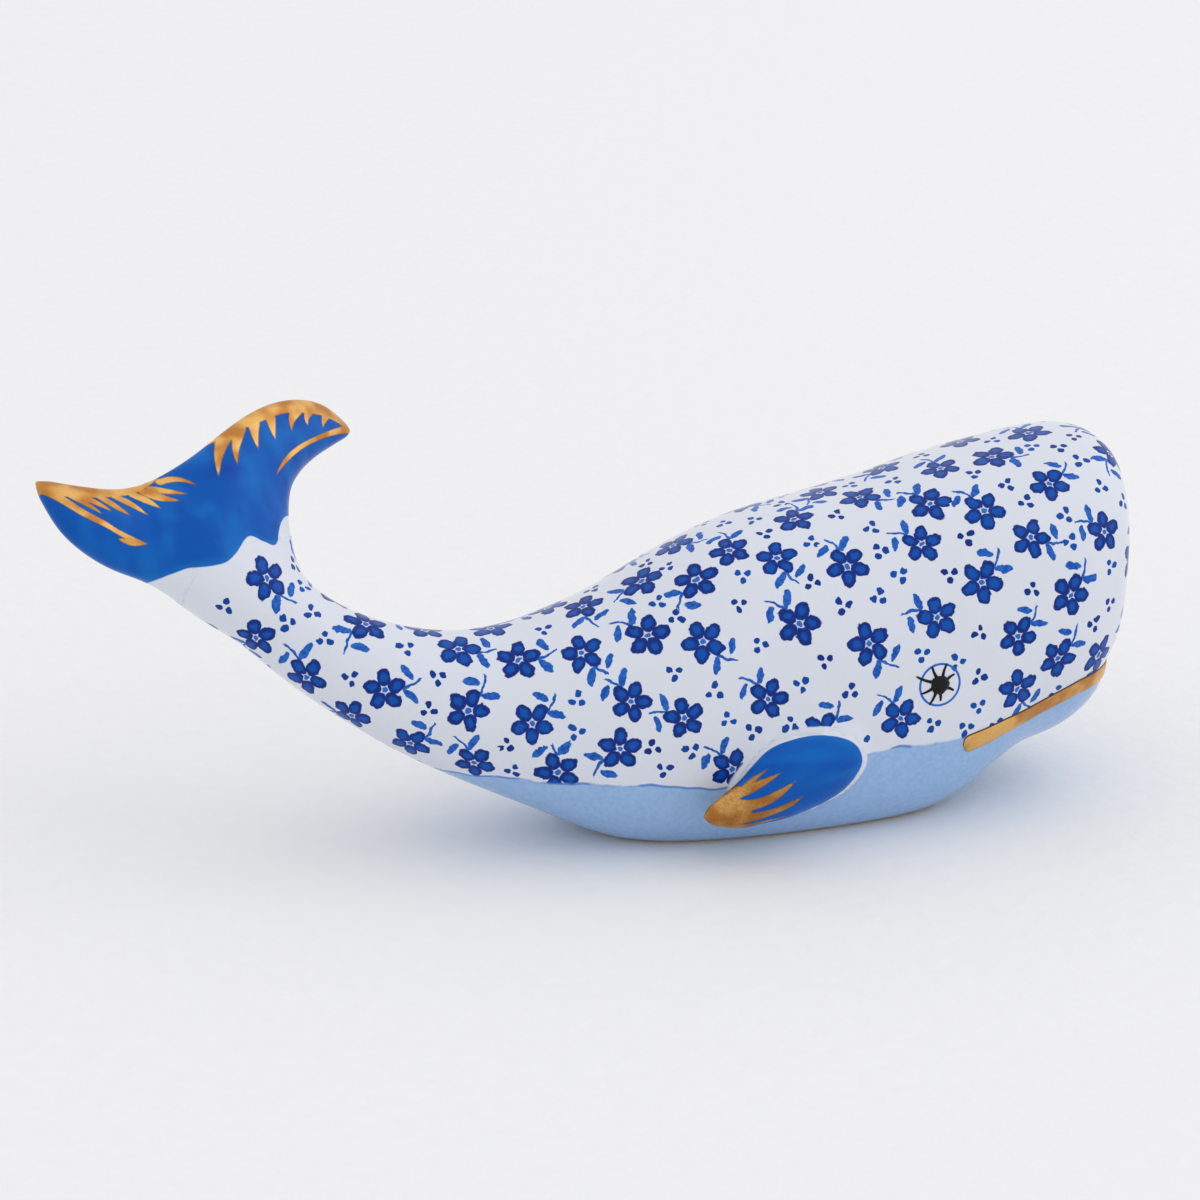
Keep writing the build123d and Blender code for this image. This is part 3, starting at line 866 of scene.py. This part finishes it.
def fluke_skin(rows, columns):
    """Blade section: the chord share is (1 - cos f) / 2 and the rise is thickness times
    sin f * (1 + fullness * cos f) / 2, along the normal of the blade. Near a tip, chord and
    thickness shrink about the middle by sqrt(1 - (1 - gap / round)^2)."""
    middle = (FLUKE_STATIONS[:, :3] + FLUKE_STATIONS[:, 3:6]) / 2
    travel = np.concatenate(([0], np.cumsum(np.linalg.norm(np.diff(middle, axis=0), axis=1))))
    ease = (1 - np.cos(np.linspace(FLUKE_SHORT, np.pi - FLUKE_SHORT, rows))) / 2
    ease = FLUKE_EASE * ease + (1 - FLUKE_EASE) * np.linspace(ease[0], ease[-1], rows)
    shares = natural_spline(travel, FLUKE_STATIONS, ease * travel[-1])
    lead, trail = fluke_place(shares[:, :3]), fluke_place(shares[:, 3:6])
    centre = (lead + trail) / 2
    gap = np.minimum(ease, 1 - ease) * travel[-1] * FLUKE_HALF_SPAN / FLUKE_TIP_ROUND
    shrink = np.sqrt(1 - np.maximum(1 - gap, 0) ** 2)[:, None]
    chord = trail - lead
    normal = unit(np.cross(np.gradient(centre, axis=0), chord))
    f = circle(columns)
    back = -np.cos(f) / 2
    rise = np.sin(f) * (1 + FLUKE_FULLNESS * np.cos(f)) / 2
    thick = shares[:, 6:7] * shrink * FLUKE_THICK * rise[None, :]
    wide = (chord * shrink)[:, None] * back[None, :, None]
    return centre[:, None] + wide + normal[:, None] * thick[..., None]


def path_distance(points, path):
    """Distance from flat points to a path of straight runs, and the place along it from
    0 to the number of runs: each run takes the point's clamped foot on it."""
    start = path[:-1]
    run = path[1:] - start
    away = points[:, None] - start
    share = np.clip(np.sum(away * run, -1) / np.sum(run * run, -1), 0, 1)
    gap = np.linalg.norm(away - share[..., None] * run, axis=-1)
    nearest = np.argmin(gap, axis=1)
    pick = np.arange(len(points))
    return gap[pick, nearest], nearest + share[pick, nearest]


STROKE_STEPS = 7


def stroke_depth(points, strokes):
    """Depth in mm inside a set of tapering strokes. Each is a spline through its places and
    half widths: its half width at the nearest place less the distance to it, and the most
    of them."""
    depth = np.full(len(points), -FAR)
    for line, halves in strokes:
        knots = np.arange(len(halves), dtype=float)
        fine = np.linspace(0, knots[-1], STROKE_STEPS * len(halves))
        curve = natural_spline(knots, np.column_stack((line, halves)), fine)
        gap, along = path_distance(points, curve[:, :2])
        half = np.interp(along, np.arange(len(fine)), curve[:, 2])
        depth = np.maximum(depth, half - gap)
    return depth


# Gold strokes on the flukes: places along the span and away, in half spans, and the half
# widths in mm. The far lobe has a deep band with seven teeth and a long barb in front.
FLUKE_GILDING = [
    (((-0.09, 0.70), (0.03, 0.735), (0.16, 0.785), (0.30, 0.815), (0.46, 0.845), (0.60, 0.85),
      (0.76, 0.82), (0.90, 0.765), (1.0, 0.70), (1.055, 0.63)),
     (0.10, 0.55, 0.90, 1.15, 1.25, 1.25, 1.20, 1.10, 0.95, 0.8)),
    (((0.148, 0.75), (0.027, 0.637), (-0.05, 0.493)), (0.75, 0.50, 0.0)),
    (((0.23, 0.759), (0.134, 0.642), (0.094, 0.539)), (0.70, 0.42, 0.0)),
    (((0.33, 0.779), (0.289, 0.688), (0.269, 0.603)), (0.75, 0.40, 0.0)),
    (((0.45, 0.788), (0.423, 0.713), (0.407, 0.641)), (0.70, 0.40, 0.0)),
    (((0.665, 0.804), (0.585, 0.746), (0.544, 0.672)), (0.75, 0.45, 0.0)),
    (((0.76, 0.79), (0.699, 0.74), (0.686, 0.686)), (0.65, 0.36, 0.0)),
    (((0.90, 0.763), (0.829, 0.71), (0.795, 0.66)), (0.70, 0.38, 0.0)),
    (((1.047, 0.64), (0.87, 0.631), (0.676, 0.604), (0.524, 0.564), (0.404, 0.509), (0.302, 0.436)),
     (0.55, 0.36, 0.30, 0.33, 0.26, 0.0)),
    (((-0.998, 0.709), (-0.932, 0.675), (-0.843, 0.635), (-0.729, 0.595), (-0.609, 0.57),
      (-0.479, 0.565), (-0.339, 0.60), (-0.20, 0.64)), (0.95, 1.05, 1.05, 0.85, 0.75, 0.65, 0.35, 0.05)),
    (((-0.873, 0.615), (-0.81, 0.534), (-0.747, 0.448)), (0.45, 0.36, 0.0)),
    (((-0.809, 0.58), (-0.742, 0.515), (-0.689, 0.454)), (0.40, 0.34, 0.0)),
    (((-0.719, 0.566), (-0.656, 0.48), (-0.595, 0.401)), (0.40, 0.36, 0.0)),
    (((-0.63, 0.542), (-0.562, 0.467), (-0.502, 0.382)), (0.40, 0.38, 0.0)),
    (((-0.526, 0.526), (-0.465, 0.464), (-0.418, 0.40)), (0.45, 0.40, 0.0)),
    (((-0.46, 0.526), (-0.388, 0.467), (-0.308, 0.425)), (0.50, 0.48, 0.05)),
    (((-0.415, 0.531), (-0.337, 0.494), (-0.239, 0.446)), (0.45, 0.36, 0.0)),
    (((-0.346, 0.56), (-0.25, 0.55), (-0.163, 0.475)), (0.40, 0.34, 0.0)),
    (((-0.995, 0.70), (-0.927, 0.602), (-0.852, 0.489), (-0.769, 0.403), (-0.711, 0.34),
      (-0.633, 0.27), (-0.558, 0.224)), (0.70, 0.52, 0.44, 0.36, 0.30, 0.30, 0.0)),
    (((-0.725, 0.304), (-0.657, 0.262), (-0.579, 0.228)), (0.0, 0.34, 0.0)),
]

fluke_grid = fluke_skin(FLUKE_ROWS, FLUKE_COLUMNS)
fluke_out = outward(fluke_grid)
tips = fluke_place((FLUKE_STATIONS[[0, -1], :3] + FLUKE_STATIONS[[0, -1], 3:6]) / 2)
fluke_points, fluke_faces = lofted(fluke_grid, tips[0], tips[1])
from_root = (fluke_points - FLUKE_ROOT) @ np.stack((FLUKE_SPAN, FLUKE_AWAY), -1)
fluke_strokes = [(np.array(line) * FLUKE_HALF_SPAN, halves) for line, halves in FLUKE_GILDING]
fluke_paint = {"gold": stroke_depth(from_root, fluke_strokes), "cobalt": cobalt_depth(fluke_points)}
flukes = make_piece("flukes", fluke_points, fluke_faces, fluke_paint)

# About so many points are measured at a time against another skin
BATCH = 1500


def height_over(points, other, other_out):
    """Index of the nearest place of another skin for each point, and the height of the
    point over that place along the skin's outward direction there."""
    pick = np.empty(len(points), int)
    for part in np.array_split(np.arange(len(points)), max(1, len(points) // BATCH)):
        near = points[part]
        square = (near ** 2).sum(-1)[:, None] + (other ** 2).sum(-1)[None] - 2 * near @ other.T
        pick[part] = np.argmin(square, axis=1)
    return pick, ((points - other[pick]) * other_out[pick]).sum(-1)


# Least m of a fillet, how far inside the meeting line its move still grows, as a share of
# soft, and the depth in mm under the other skin at which the move has faded to nothing
LEAST_OPPOSED, PAST_MEETING, FADE = 0.05, 0.06, 0.8


def blended(points, out, other, other_out, soft):
    """Points moved out to the smooth union of two skins. With s the height over the other
    skin, m = 1 - cosine between the normals and u = 1 - s / soft, the move is
    2 soft / m^2 * (1 - m u / 2 - sqrt(1 - m u)). The two skins meet at s = m soft / 4, and
    just past that the move falls to 0, out of sight inside the other skin."""
    shape = points.shape
    points, out, other, other_out = (a.reshape(-1, 3) for a in (points, out, other, other_out))
    pick, height = height_over(points, other, other_out)
    m = np.clip(1 - (out * other_out[pick]).sum(-1), LEAST_OPPOSED, 2)
    turn = m * soft / 4 - PAST_MEETING * soft
    u = np.clip(1 - np.maximum(height, turn) / soft, 0, None)
    move = 2 * soft / m ** 2 * (1 - m * u / 2 - np.sqrt(np.maximum(1 - m * u, 0)))
    move *= np.clip((height + FADE) / (turn + FADE), 0, 1)
    return (points + out * move[:, None]).reshape(shape)


def redrawn(piece, points, depth):
    """Gives a piece its moved points, and the depth inside the cobalt at each of them."""
    piece.data.vertices.foreach_set("co", (points * MM).astype(np.float32).ravel())
    piece.data.attributes["cobalt"].data.foreach_set("value", depth.astype(np.float32))
    piece.data.update()


# Slip fillet where the flukes meet the stock: both skins are drawn to their smooth union,
# and each is measured against a thinner grid of the other
FILLET = 6.5
stock, root = np.s_[-85:], np.s_[60:-80]
thin_stock, thin_root = np.s_[-85:, ::3], np.s_[60:-80:2, ::3]
filled = blended(fluke_grid[root], fluke_out[root], skin[thin_stock], skin_out[thin_stock], FILLET)
skin[stock] = blended(skin[stock], skin_out[stock], fluke_grid[thin_root], fluke_out[thin_root], FILLET)
fluke_grid[root] = filled
fluke_points[:-2] = fluke_grid.reshape(-1, 3)
redrawn(flukes, fluke_points, cobalt_depth(fluke_points))

# The body is redrawn after the fillets of the flippers, at the end of their section


def cobalt_finish(name, streak_grain, light_share, worn):
    """Cobalt under glaze over white glaze, with gold wherever the piece's gold depth is
    above 0 and a thin dark line along the gold's edge."""
    finish, tree, shader, place = new_finish(name)
    depth = brushed_cobalt(tree, place)
    base = cobalt_over(tree, place, white_glaze(tree, place), depth, streak_grain, light_share)
    fray = calc(tree, "MULTIPLY_ADD", mottle(tree, place, 1.4, 3.0), 0.10, -0.05)
    gold_depth = calc(tree, "ADD", calc(tree, "MINIMUM", painted(tree, "gold"), depth), fray)
    gold = between(tree, gold_depth, -0.02, 0.03)
    shade = between(tree, gold_depth, 0.02, 0.12, 0.6, 0)
    base = tint(tree, gold, base, tint(tree, shade, gold_leaf(tree, place, worn), GOLD_SHADE))
    tree.links.new(times(tree, gold, 0.8), shader.inputs["Metallic"])
    grain = mottle(tree, place, 1.5, 4.0)
    satin = calc(tree, "MULTIPLY_ADD", grain, 0.16, 0.26)
    gloss = calc(tree, "MULTIPLY_ADD", mottle(tree, place, 0.16), 0.16, 0.14)
    gloss = times(tree, calc(tree, "SUBTRACT", 1, gold), gloss)
    lumps = calc(tree, "MULTIPLY_ADD", mottle(tree, place, 0.3, 1.0), 0.5, times(tree, grain, 0.04))
    lumps = calc(tree, "ADD", lumps, times(tree, gold, 0.12))
    coated(tree, shader, base, calc(tree, "ADD", times(tree, gold, satin), gloss), lumps, 0.2)
    shader.inputs["Specular IOR Level"].default_value = 0.12
    return finish


TAIL_WORN = 0.3
fluke_finish = cobalt_finish("tail_cobalt_and_gold", TAIL_STREAKS, TAIL_LIGHT, TAIL_WORN)
flukes.data.materials.append(fluke_finish)
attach(flukes, "root")
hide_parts("tail_flukes")


# Flippers. Two small rounded paddles pressed by hand, stuck low on the flanks with slip,
# painted cobalt and gilded at the tip with feathered strokes running forward.
FLIPPER_LONG, FLIPPER_WIDE, FLIPPER_THICK = 19.2, 8.0, 4.0
FLIPPER_ROWS, FLIPPER_COLUMNS = 150, 110
FLIPPER_ENDS, LEAST_HALF = (0.012, 0.992), 0.01
FLIPPER_ROOT = np.array((3.71, -15.8, 11.54))
SWEEP, SPLAY, CANT = math.radians(14.4), math.radians(5.1), math.radians(10)
FLIPPER_AXIS = np.array((-math.cos(SWEEP) * math.cos(SPLAY), -math.sin(SPLAY),
                         -math.sin(SWEEP) * math.cos(SPLAY)))
FLIPPER_UP = unit(np.cross(FLIPPER_AXIS, (0, -math.cos(CANT), -math.sin(CANT))))
FLIPPER_OUT = np.cross(FLIPPER_UP, FLIPPER_AXIS)

# From the rounded front to the tip: place along, shift up, half width and half thickness,
# as shares of the length, width, width and thickness.
FLIPPER_STATIONS = np.array([
    (-0.035, 0.00, 0.00, 0.00), (-0.01, 0.00, 0.20, 0.28), (0.06, -0.02, 0.36, 0.42),
    (0.20, -0.02, 0.52, 0.50), (0.38, 0.00, 0.59, 0.50), (0.52, 0.00, 0.57, 0.47),
    (0.64, -0.04, 0.46, 0.42), (0.78, -0.08, 0.34, 0.34), (0.90, -0.05, 0.22, 0.24),
    (0.97, -0.02, 0.11, 0.13), (1.00, 0.00, 0.00, 0.00),
])


def flipper_skin(rows, columns):
    """Paddle section: root + axis * a + up * (shift + w * cos f) + out * h * sin f."""
    lengths = FLIPPER_STATIONS * (FLIPPER_LONG, FLIPPER_WIDE, FLIPPER_WIDE, FLIPPER_THICK)
    moves = np.hypot(np.diff(lengths[:, 0]), np.diff(lengths[:, 2]))
    travel = np.concatenate(([0], np.cumsum(moves)))
    shares = natural_spline(travel, lengths, np.linspace(*FLIPPER_ENDS, rows) * travel[-1])
    f = circle(columns)
    up = shares[:, 1:2] + np.maximum(shares[:, 2:3], LEAST_HALF) * np.cos(f)
    out = np.maximum(shares[:, 3:4], LEAST_HALF) * np.sin(f)
    base = FLIPPER_ROOT + shares[:, :1, None] * FLIPPER_AXIS
    return base + up[..., None] * FLIPPER_UP + out[..., None] * FLIPPER_OUT


# Gold strokes on a flipper: shares of its length and width, and half widths in mm
FLIPPER_GILDING = [
    (((1.02, 0.02), (0.93, -0.02), (0.86, 0.0), (0.80, -0.06)), (1.2, 1.6, 1.9, 1.5)),
    (((0.95, 0.06), (0.86, 0.13), (0.774, 0.21), (0.668, 0.33), (0.55, 0.45)),
     (0.5, 0.32, 0.27, 0.22, 0.0)),
    (((0.868, 0.23), (0.745, 0.222), (0.634, 0.267), (0.495, 0.335)), (0.75, 0.50, 0.42, 0.0)),
    (((0.837, 0.08), (0.702, -0.003), (0.567, 0.015), (0.416, 0.135)), (0.95, 0.70, 0.58, 0.0)),
    (((0.924, -0.08), (0.745, -0.20), (0.607, -0.246), (0.481, -0.236), (0.389, -0.169)),
     (0.9, 0.7, 0.5, 0.4, 0.0)),
    (((0.971, -0.10), (0.819, -0.30), (0.659, -0.40), (0.431, -0.488)), (0.8, 0.45, 0.25, 0.0)),
]

flipper_grid = flipper_skin(FLIPPER_ROWS, FLIPPER_COLUMNS)
flipper_out = outward(flipper_grid).reshape(-1, 3)
ends = FLIPPER_ROOT + np.outer(FLIPPER_STATIONS[[0, -1], 0] * FLIPPER_LONG, FLIPPER_AXIS)
flipper_points, flipper_faces = lofted(flipper_grid, ends[0], ends[1])
on_paddle = (flipper_points - FLIPPER_ROOT) @ np.stack((FLIPPER_AXIS, FLIPPER_UP), -1)
paddle_size = np.array((FLIPPER_LONG, FLIPPER_WIDE))
flipper_strokes = [(np.array(line) * paddle_size, halves) for line, halves in FLIPPER_GILDING]
flipper_gold = stroke_depth(on_paddle, flipper_strokes)

# Streaks along the paddle, lighter and more worn than the tail's
FLIPPER_STREAKS, FLIPPER_LIGHT, FLIPPER_WORN = (0.25, 0.9, 1.2), 0.7, 0.7
flipper_finish = cobalt_finish("flipper_cobalt_and_gold", FLIPPER_STREAKS, FLIPPER_LIGHT, FLIPPER_WORN)

# The fillets reach only the skin beside a flipper: so far fore and aft of a middle x, past
# FLANK_Y and under a height. White glaze shows on the paddle for so far past the line where
# its fillet meets the flank.
BESIDE_X, BESIDE_REACH, BESIDE_TOP = -5, 15, 18
FLIPPER_FILLET, GLAZE_HALO, TIP_DEPTH = 2.6, 0.62, 5.0


def past_meeting(points, out, other, other_out, soft):
    """Height over another skin less the height at which the two blended skins meet, which
    is (1 - cosine between the normals) * soft / 4."""
    pick, height = height_over(points, other, other_out)
    opposed = 1 - (out * other_out[pick]).sum(-1)
    return height - opposed * soft / 4


halo = np.full(skin.shape[:2], FAR)
for name, side, faces in (("right_flipper_paddle", 1, flipper_faces),
                          ("left_flipper_paddle", -1, mirrored(flipper_points, flipper_faces)[1])):
    paddle, paddle_out = flipper_points[:-2] * (1, side, 1), flipper_out * (1, side, 1)
    thin, thin_out = paddle[::3], paddle_out[::3]
    beside = (np.abs(skin[..., 0] - BESIDE_X) < BESIDE_REACH) & (skin[..., 2] < BESIDE_TOP)
    beside &= skin[..., 1] * side < -FLANK_Y
    flank_skin, flank_normal = skin[beside], skin_out[beside]
    skin[beside] = blended(flank_skin, flank_normal, thin, thin_out, FLIPPER_FILLET)
    halo[beside] = past_meeting(flank_skin, flank_normal, thin, thin_out, FLIPPER_FILLET)
    paddle = blended(paddle, paddle_out, flank_skin, flank_normal, FLIPPER_FILLET)
    points = np.concatenate((paddle, flipper_points[-2:] * (1, side, 1)))
    blue = past_meeting(paddle, paddle_out, flank_skin, flank_normal, FLIPPER_FILLET) - GLAZE_HALO
    blue = np.concatenate((blue, (blue[0], TIP_DEPTH)))
    flipper = make_piece(name, points, faces, {"gold": flipper_gold, "cobalt": blue})
    flipper.data.materials.append(flipper_finish)
    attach(flipper, "root")
    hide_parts(name.replace("_paddle", ""))
skin_points[:-2] = skin.reshape(-1, 3)
redrawn(body, skin_points, cobalt_depth(skin_points))
halo = np.concatenate((halo.ravel(), (FAR, FAR)))
body.data.attributes["halo"].data.foreach_set("value", halo.astype(np.float32))


# Floor. A pale sheet of white card that runs on under and behind the figurine.
floor_mesh = bpy.data.meshes.new("floor")
FLOOR_REACH = 3.0
corners = FLOOR_REACH * np.array([(-1, -1, 0), (1, -1, 0), (1, 1, 0), (-1, 1, 0)])
floor_mesh.from_pydata(corners.tolist(), [], [(0, 1, 2, 3)])
floor = bpy.data.objects.new("floor", floor_mesh)
bpy.context.scene.collection.objects.link(floor)
card, tree, shader, place = new_finish("white_card")
fibres = mottle(tree, place, 0.4, 6.0)
pale = tint(tree, fibres, rgb(238, 238, 238), rgb(243, 243, 243))
coated(tree, shader, pale, calc(tree, "MULTIPLY_ADD", fibres, 0.1, 0.85), fibres, 0.15)
floor_mesh.materials.append(card)


# Light and camera. Soft boxes above and at the right in a pale room, and a long lens level
# with the photograph's view: 20 degrees above the floor and 20 degrees toward the tail.
world = bpy.data.worlds.new("pale_room")
world.use_nodes = True
world.node_tree.nodes["Background"].inputs["Color"].default_value = rgb(242, 242, 244)
world.node_tree.nodes["Background"].inputs["Strength"].default_value = 0.96
bpy.context.scene.world = world


def soft_box(name, place, aim, width, height, power):
    """Area lamp at a place in metres, turned to face the point that it aims at."""
    lamp = bpy.data.lights.new(name, "AREA")
    lamp.shape = "RECTANGLE"
    lamp.size = width
    lamp.size_y = height
    lamp.energy = power
    box = bpy.data.objects.new(name, lamp)
    bpy.context.scene.collection.objects.link(box)
    box.location = place
    away = unit(np.array(place) - np.array(aim))
    side = unit(np.cross((0, 0, 1), away))
    turn = np.stack((side, np.cross(away, side), away), -1)
    box.rotation_euler = Matrix(turn.tolist()).to_euler()


soft_box("overhead_box", place=(0.20, 0.20, 1.1), aim=(0, 0.1, 0), width=2.4, height=2.4, power=1.5)
soft_box("side_box", place=(1.1, -0.35, 0.95), aim=(0, 0, 0.02), width=1.8, height=1.8, power=5.0)

# Metres from the camera to the middle of the view, and that middle
CAMERA_FAR, VIEW_MIDDLE = 0.580, np.array((-0.01559, 0.01416, 0.02191))
camera_data = bpy.data.cameras.new("camera")
camera_data.lens = 150
camera_data.sensor_width = 36
camera_data.clip_start = 0.01
camera = bpy.data.objects.new("camera", camera_data)
bpy.context.scene.collection.objects.link(camera)
azimuth, elevation = math.radians(-20), math.radians(20)
back = np.array((math.sin(azimuth) * math.cos(elevation), -math.cos(azimuth) * math.cos(elevation),
                 math.sin(elevation)))
right = np.array((math.cos(azimuth), math.sin(azimuth), 0))
camera.location = VIEW_MIDDLE + back * CAMERA_FAR
turn = np.stack((right, np.cross(back, right), back), -1)
camera.rotation_euler = Matrix(turn.tolist()).to_euler()
bpy.context.scene.camera = camera
bpy.context.scene.view_settings.view_transform = "Standard"
